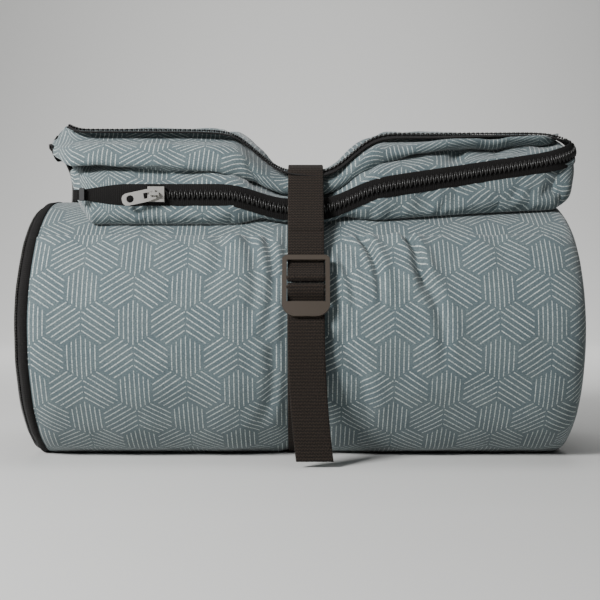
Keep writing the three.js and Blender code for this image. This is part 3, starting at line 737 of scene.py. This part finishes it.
def slab(which, seed):
    def where(i, j):
        y, z = drawn(which, XS[i], j % AROUND)
        return place(inset(which, XS[i], y, z), y, z)

    def cloth_uv(i, j):
        return XS[i], FLAT[which][min(j, AROUND - 1)]

    o = swept("tail_" + which, len(XS), AROUND + 1, where, cloth_uv)
    mesh = o.data
    rest = [v.co.copy() for v in mesh.vertices]
    held = o.vertex_groups.new(name="held")
    for v in mesh.vertices:
        x = v.co.x / MM + CX
        y, z = v.co.y / MM + CY, v.co.z / MM - AXIS
        deg = 180 - math.degrees(math.atan2(z, y))
        by_strap = 1 - smooth(16, 36, abs(x - STRAP_X))
        by_roll = 1 - smooth(2.0, 7.0, math.hypot(y, z) - under(min(deg, 240)))
        by_back = smooth(146, 156, deg)
        held.add([v.index], max(by_strap, by_roll, by_back), "REPLACE")
    m = o.modifiers.new("blown up", "CLOTH")
    m.settings.quality = 5
    m.settings.mass = 0.25
    m.settings.use_pressure = True
    m.settings.uniform_pressure_force = PRESSURE
    m.settings.tension_stiffness = 12
    m.settings.compression_stiffness = 12
    m.settings.bending_stiffness = 0.4
    m.settings.vertex_group_mass = "held"
    m.settings.shrink_min = -0.045
    m.settings.effector_weights.gravity = 0
    m.collision_settings.use_self_collision = False
    scene = bpy.context.scene
    scene.frame_start, scene.frame_end = 1, FRAMES
    m.point_cache.frame_start, m.point_cache.frame_end = 1, FRAMES
    for f in range(1, FRAMES + 1):
        scene.frame_set(f)
    shaped = o.evaluated_get(bpy.context.evaluated_depsgraph_get()).to_mesh()
    moved = [v.co.copy() for v in shaped.vertices]
    o.to_mesh_clear()
    o.modifiers.remove(m)
    scene.frame_set(1)
    biggest = 0.0
    for v, a, b in zip(mesh.vertices, rest, moved):
        d = b - a
        if d.length > MOVE_CAP:
            d *= MOVE_CAP / d.length
        x = a.x / MM + CX
        free = smooth(16, 60, abs(x - STRAP_X))
        y, z = a.y / MM + CY, a.z / MM - AXIS
        out = Vector((0, y, z)).normalized()
        wob = noise.noise(Vector((x / 38.0, math.atan2(z, y) * 3.4, seed))) * 2.6
        wob += noise.noise(Vector((x / 15.0, math.atan2(z, y) * 8.0, seed + 4))) * 0.9
        # Pleats fan out from the strap, and the slack mouth at the right end crumples.
        off = abs(x - STRAP_X)
        fan = math.exp(-(((off - 30) / 24.0) ** 2)) * smooth(16, 26, off)
        wob += 3.4 * fan * noise.noise(Vector((x / 70.0, math.atan2(z, y) * 13.0, seed + 9)))
        mouth = smooth(110, 190, x) * (1.0 if which == "upper" else 0.35)
        wob += 3.0 * mouth * noise.noise(Vector((x / 22.0, math.atan2(z, y) * 12.0, seed + 2)))
        deg = 180 - math.degrees(math.atan2(z, y))
        k = min(len(SEWN[which]) - 1, max(0, round((x + 200) / 416 * (len(SEWN[which]) - 1))))
        near = min((a - q).length for q in SEWN[which][max(0, k - 2) : k + 3]) / MM
        quiet = smooth(8.0, 22.0, near)
        quiet *= smooth(0, 14, x - T_LEFT)
        d *= 0.3 + 0.7 * quiet
        wob *= 0.08 + 0.92 * quiet
        clear = smooth(3.0, 9.0, math.hypot(y, z) - under(min(deg, 240)))
        loose = max(free, fan) * clear * (1 - smooth(140, 156, deg))
        v.co = a + d * free + out * (wob * MM * loose)
        biggest = max(biggest, (v.co - a).length)
    print("tail_" + which, "moved at most %.1f mm" % (biggest / MM))
    mesh.materials.append(cover)
    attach(o, "blanket")
    return o


tail_lower = slab("lower", 3.0)
tail_upper = slab("upper", 7.0)
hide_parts("tail_cover_lower", "tail_batting_lower", "tail_side_tape_lower")
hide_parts("tail_cover_upper", "tail_batting_upper", "tail_side_tape_upper")

# %% [markdown]
# ## The strap
# Webbing bends but hardly stretches, so it is modelled directly: a flat section with round edges
# carried along its line.

# %% Webbing sweep
TILT, BUCKLE_R = 15.0, 122.8


def buckle_at(v, n):
    c, s = math.cos(math.radians(TILT)), math.sin(math.radians(TILT))
    return -(BUCKLE_R + n) * c + v * s, (BUCKLE_R + n) * s + v * c


def strip_section(width, ply):
    """A flat strip's section with rounded edges, as across and out pairs."""
    half, r = width / 2, ply / 2
    flat = [half - r - (width - ply) * k / 10 for k in range(11)]
    right = [(half - r + r * math.sin(a), r * math.cos(a)) for a in (0.5, 1.57, 2.64)]
    left = [(-half + r - r * math.sin(a), -r * math.cos(a)) for a in (0.5, 1.57, 2.64)]
    return [(x, r) for x in reversed(flat)] + right + [(x, -r) for x in flat] + left


def strap(name, path, body, nodes, width=WEB, ply=PLY, step=2.0, mid=STRAP_X, sway=None):
    line = respaced(path, step)
    run = lengths(line)
    ring = strip_section(width, ply)
    size = lengths(ring, wrap=True)

    def where(i, j):
        a, b = line[max(i - 1, 0)], line[min(i + 1, len(line) - 1)]
        dy, dz = b[0] - a[0], b[1] - a[1]
        far = math.hypot(dy, dz)
        x, o = ring[j % len(ring)]
        side = sway(run[i] / run[-1]) if sway else 0.0
        return place(mid + x + side, line[i][0] - dz / far * o, line[i][1] + dy / far * o)

    obj = swept(name, len(line), len(ring) + 1, where, lambda i, j: (size[j], run[i]))
    obj.data.materials.append(webbing)
    if nodes:
        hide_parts(*nodes)
    print(name, "is %.0f mm long" % run[-1])
    if body:
        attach(obj, body)
    return obj


TIGHT = dict(zip(BACK, ROOF["tight"]))
over = [buckle_at(26.6, -3.1), (-97.0, 82.0), (-85.0, 105.0), (-75.2, 125.0), (-69.4, 132.6), (-58, 137.0)]
over += [polar(d, TIGHT[d] + 0.35 + PLY / 2) for d in reversed(BACK)]
down = [
    polar(d, press(d) * (outside(d) - LAP + DEEP - SINK + 0.3 + PLY / 2)) for d in range(166, 348, 6)
]
SPLIT = 23
round_it = over + down[: SPLIT + 1]
strap("strap_loop_web", round_it, "blanket", ["strap_loop"])
# Its lower run goes on up to the buckle.
run_up = down[SPLIT:] + [buckle_at(-36, -5.2), buckle_at(-27.6, -4.9)]
lower_run = strap("strap_lower_run_web", run_up, None, [])
place(STRAP_X, *run_up[0])
place(STRAP_X, *run_up[-1])
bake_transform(lower_run)
lead = Vector((over[1][0] - over[0][0], over[1][1] - over[0][1])).normalized()


def beside(d, off):
    return over[0][0] + lead.x * d + lead.y * off, over[0][1] + lead.y * d - lead.x * off


sewn = [beside(1.5, 1.8), beside(15, 1.8), beside(29, 1.8)]
strap("strap_sewn_back", sewn, "blanket", ["strap_sewn_end"])
tack = [beside(22.4, -1.0), beside(24.6, -1.0)]
strap("bar_tack_stitches", tack, "blanket", ["bar_tack"], width=26, ply=0.7, step=0.4)
FIXED, GRIP = 6.8, -0.9


def arc(v, r, start, end, steps):
    angles = [math.radians(start + (end - start) * k / steps) for k in range(steps + 1)]
    return [buckle_at(v + r * math.cos(a), r * math.sin(a)) for a in angles]


end_loop = [buckle_at(26.2, -3.1), buckle_at(21, -3.1)] + arc(FIXED, 2.65, 62, 270, 8)
end_loop += [buckle_at(21, -4.9), buckle_at(26.2, -4.9)]
strap("strap_end_web", end_loop, "buckle", ["strap_end_loop"], step=1.2)
bend = [buckle_at(-26.8, -4.9), buckle_at(-9, -4.9), buckle_at(-3.6, -3.2)] + arc(GRIP, 2.5, -75, 75, 6)
bend += [buckle_at(-5.5, 1.0), buckle_at(-10.5, -2.6), buckle_at(-14, -3.1), buckle_at(-26.8, -3.1)]
strap("strap_turn_web", bend, "buckle", ["strap_turn"], step=1.2)
hang = buckle_at(-26.6, -3.1)
tail_path = [hang, (hang[0] - 2.4, hang[1] - 9), (hang[0] - 3.6, hang[1] - 26), (hang[0] - 3.4, hang[1] - 60)]
tail_path += [(hang[0] - 3.2, -96.0), (hang[0] - 3.2, -108.5)]
LEAN = 7.0
free_end = strap(
    "strap_tail_web",
    tail_path,
    None,
    ["strap_tail"],
    sway=lambda t: LEAN * t * t,
)
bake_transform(free_end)

# %% [markdown]
# ## End zip
# The end zip runs along the lower slab's nose, climbs over the fold at the right end and comes
# back along the upper slab's brow. The tape is a flat strip on the cloth. The coil is made of
# separate teeth, each a small rounded bar set across the tape, alternate ones leaning each way.

# %% End zip
def on_slab(o, where, x, up=0.0):
    """A place of the zip on the puffed cloth, with its side and outward ways."""
    mid, side = where(x)
    out = Vector((0, -side.z, side.y)).lerp(Vector((0, 0, 1)), up).normalized()
    side = Vector((0, out.z, -out.y))
    lifts = [0.0]
    for off in (-6, -3, 0, 3, 6):
        start = place(*(mid + side * off))
        hit, spot, _, _ = o.ray_cast(start + out * 0.02, -out)
        if hit:
            lifts.append((spot - start).dot(out) / MM)
    return mid + out * min(max(lifts), 9.0), side, out


bpy.context.view_layer.update()
run_places = [on_slab(tail_lower, front_zip, x) for x in spaced(-192, 206, 6)]
rear_places = [
    on_slab(tail_upper, rear_zip, x, 0.45 + 0.37 * smooth(50, -20, x)) for x in spaced(206, -206, 6)
]
climb_mid = [(222, -57, 142), (231, -50, 145.5), (240, -41, 150)]
climb_mid += [(243, -32, 156), (238.5, -26.5, 162.5), (226, -26, 167)]
start_, end_ = run_places[-1], rear_places[0]
turn_line = respaced([tuple(start_[0])] + climb_mid + [tuple(end_[0])], 5.0)
turn_places = []
for k, mid in enumerate(turn_line[1:-1], 1):
    t = k / (len(turn_line) - 1)
    along = (Vector(turn_line[k + 1]) - Vector(turn_line[k - 1])).normalized()
    out = start_[2].lerp(Vector((1, -0.3, 0.3)), smooth(0, 0.45, t))
    out = out.lerp(end_[2], smooth(0.55, 1, t)).normalized()
    side = out.cross(along).normalized()
    turn_places.append((Vector(mid), side, along.cross(side).normalized()))
flip = [(m, -s, o) for m, s, o in rear_places]
places = run_places + turn_places + flip
# Where the tape turns, neighbouring places are averaged so that it does not kink.
for _ in range(3):
    for k in range(1, len(places) - 1):
        m, s, o = places[k]
        side = (places[k - 1][1] + s * 2 + places[k + 1][1]).normalized()
        out = (places[k - 1][2] + o * 2 + places[k + 1][2]).normalized()
        mid = (places[k - 1][0] + m * 2 + places[k + 1][0]) / 4
        places[k] = (mid, side, out)
way = lengths([tuple(p[0]) for p in places])
tape_ring = strip_section(18.6, 1.0)
tape_size = lengths(tape_ring, wrap=True)


def tape_where(i, j):
    mid, side, out = places[i]
    x, o = tape_ring[j % len(tape_ring)]
    # The tape narrows at the open end of the zip.
    x *= 0.45 + 0.55 * smooth(0, 45, way[i])
    p = mid + side * x + out * (o + 0.9 - 0.012 * x * x)
    return place(*p)


def tape_uv(i, j):
    return tape_size[j], way[i]


end_tape = swept("end_zip_tape_cloth", len(places), len(tape_ring) + 1, tape_where, tape_uv)
end_tape.data.materials.append(tape)
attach(end_tape, "blanket")
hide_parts("end_zip_tape")


def tooth_row(name, first_x):
    """All the teeth of the end zip in one mesh."""
    bm = bmesh.new()
    start = next(k for k, p in enumerate(places) if p[0].x >= first_x)
    s = way[start]
    k, count = start, 0
    while s < way[-1] - 1:
        while way[k + 1] < s:
            k += 1
        t = (s - way[k]) / (way[k + 1] - way[k])
        a, b = places[k], places[k + 1]
        mid, side, out = (a[i].lerp(b[i], t) for i in range(3))
        along = side.cross(out).normalized()
        lean = 0.16 if count % 2 else -0.16
        bead = bmesh.ops.create_icosphere(bm, subdivisions=1, radius=1.0)["verts"]
        shift = 0.55 if count % 2 else -0.55
        for v in bead:
            u, w, h = v.co.x * 4.1 + shift, v.co.y * 0.92, v.co.z * 1.15
            w += lean * u
            p = mid + side * u + along * w + out * (h + 2.5)
            v.co = place(*p)
        s += PITCH
        count += 1
    o = made(name, bm)
    o.data.materials.append(coil)
    print(name, count, "teeth")
    return o


teeth = tooth_row("end_zip_teeth", -126)
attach(teeth, "blanket")
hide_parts("end_zip_coil")

# %% [markdown]
# ## Left ends of the tail
# The side zip runs on up the left end of both slabs as a black tape with its coil outside.

# %% Left ends
def side_strip(which):
    """A tape and its coil along the middle of a slab's left end."""
    half = AROUND // 2
    line = []
    for k in range(4, half - 2):
        a, b = drawn(which, T_LEFT + 2, k), drawn(which, T_LEFT + 2, AROUND - 1 - k)
        line.append(((a[0] + b[0]) / 2, (a[1] + b[1]) / 2, math.dist(a, b)))
    run = lengths([(y, z) for y, z, _ in line])
    ring = strip_section(1.0, 1.0)
    size = lengths(ring, wrap=True)

    def where(i, j):
        a, b = line[max(i - 1, 0)], line[min(i + 1, len(line) - 1)]
        far = math.hypot(b[0] - a[0], b[1] - a[1])
        u, o = ring[j % len(ring)]
        wide = max(5.0, line[i][2] * 0.92)
        ny, nz = -(b[1] - a[1]) / far, (b[0] - a[0]) / far
        x = T_LEFT - 0.4 - o * 1.6 + (abs(u) * 2) ** 2 * 3.0
        return place(inset(which, x, *line[i][:2]), line[i][0] + ny * u * wide, line[i][1] + nz * u * wide)

    def tape_uv(i, j):
        return size[j] * 20, run[i]

    o = swept("tail_side_tape_" + which + "_cloth", len(line), len(ring) + 1, where, tape_uv)
    o.data.materials.append(tape)
    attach(o, "blanket")
    ring2 = [(1.4 * math.cos(k * math.pi / 4), 2.8 * math.sin(k * math.pi / 4)) for k in range(8)]

    def bead(i, j):
        a, b = line[max(i - 1, 0)], line[min(i + 1, len(line) - 1)]
        far = math.hypot(b[0] - a[0], b[1] - a[1])
        h, u = ring2[j % 8]
        x = inset(which, T_LEFT - 2.2 - h, *line[i][:2])
        return place(x, line[i][0] - (b[1] - a[1]) / far * u, line[i][1] + (b[0] - a[0]) / far * u)

    c = swept("tail_side_coil_" + which, len(line), 9, bead, lambda i, j: (j, run[i]))
    c.data.materials.append(bar_coil)
    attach(c, "blanket")


side_strip("lower")
side_strip("upper")

# %% [markdown]
# ## The fold at the right end
# The two slabs are one piece of blanket folded over, so a soft round fold closes their right end.
# Its cloth is slack and crumples between the two runs of the zip.

# %% Fold
def fold_piece():
    lower = [drawn("lower", 222, k) for k in range(0, 60)]
    upper = [drawn("upper", 222, k) for k in range(60, AROUND)]
    ring = respaced(lower + upper, 3.0)
    m = len(ring)
    depth = [218, 222, 226, 229.5, 232.5, 235, 237, 238.6, 239.8, 240.4, 240.6]

    def where(i, j):
        y, z = ring[j % m]
        oy, oz = ring[(m - 1 - j) % m]
        x = depth[i]
        t = max(0.0, (x - 218) / 22.6)
        pull = 0.5 * (1 - math.sqrt(max(0.0, 1 - t**2.6))) * 0.96 + 0.02
        y, z = y + (oy - y) * pull, z + (oz - z) * pull
        deg = 180 - math.degrees(math.atan2(z, y))
        crumple = 2.4 * noise.noise(Vector((x / 9.0, deg / 9.0, 2.0)))
        crumple += 1.6 * noise.noise(Vector((x / 16.0, deg / 4.5, 8.0)))
        r = math.hypot(y, z) + crumple * smooth(0, 0.4, t) * (1 - smooth(140, 158, deg))
        y, z = polar(deg, max(r, under(min(deg, 240)) + 0.3))
        return place(x + 1.2 * noise.noise(Vector((y / 14.0, z / 14.0, 4.0))) * t, y, z)

    size = lengths(ring, wrap=True)
    o = swept("tail_fold_cloth", len(depth), m + 1, where, lambda i, j: (depth[i], size[j]))
    o.data.materials.append(cover)
    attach(o, "blanket")
    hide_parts("tail_fold")


fold_piece()

# %% [markdown]
# ## Stage
# A plain pale floor curves up behind. A softbox lights the object from above on the front left, a
# weak one hangs overhead and a wide one lights the backdrop. The roll's underside falls into shade.

# %% Stage
def sweep_floor():
    bm = bmesh.new()
    bmesh.ops.create_grid(bm, x_segments=2, y_segments=60, size=1.0)
    for v in bm.verts:
        u, w = v.co.x * 5.0, (v.co.y + 1) / 2
        if w < 0.6:
            y, z = -2.5 + w / 0.6 * 4.5, 0.0
        else:
            a = (w - 0.6) / 0.4 * math.pi / 2
            y, z = 2.0 + 2.0 * math.sin(a), 2.0 * (1 - math.cos(a))
        v.co = (u, y, z)
    o = made("floor", bm)
    o.data.materials.append(solid("pale paper sweep", "cfcfcd", 0.9))


sweep_floor()


def lamp(name, where, target, size, watts):
    data = bpy.data.lights.new(name, "AREA")
    data.shape = "RECTANGLE"
    data.size, data.size_y = size
    data.energy = watts
    o = bpy.data.objects.new(name, data)
    o.location = where
    o.rotation_euler = (Vector(target) - Vector(where)).to_track_quat("-Z", "Y").to_euler()
    bpy.context.scene.collection.objects.link(o)


lamp("softbox above the front", (-0.95, -1.05, 0.86), (0, 0, 0.2), (0.5, 0.35), 42)
lamp("overhead softbox", (0.1, -0.1, 1.7), (0, 0, 0.2), (0.9, 0.6), 7)
lamp("backdrop light", (0.0, 1.2, 1.9), (0, 2.8, 0.6), (2.4, 0.8), 90)
world = bpy.data.worlds.new("studio")
bpy.context.scene.world = world
world.use_nodes = True
world.node_tree.nodes["Background"].inputs[0].default_value = (1, 1, 1, 1)
world.node_tree.nodes["Background"].inputs[1].default_value = 0.07

camera_data = bpy.data.cameras.new("camera")
camera_data.lens = 56.1
camera_data.sensor_width = 36
camera = bpy.data.objects.new("camera", camera_data)
camera.location = (-0.0083, -0.871, 0.134)
camera.rotation_euler = (math.pi / 2, 0, 0)
bpy.context.scene.collection.objects.link(camera)
bpy.context.scene.camera = camera
print("camera of", camera_data.lens, "mm at", tuple(camera.location))
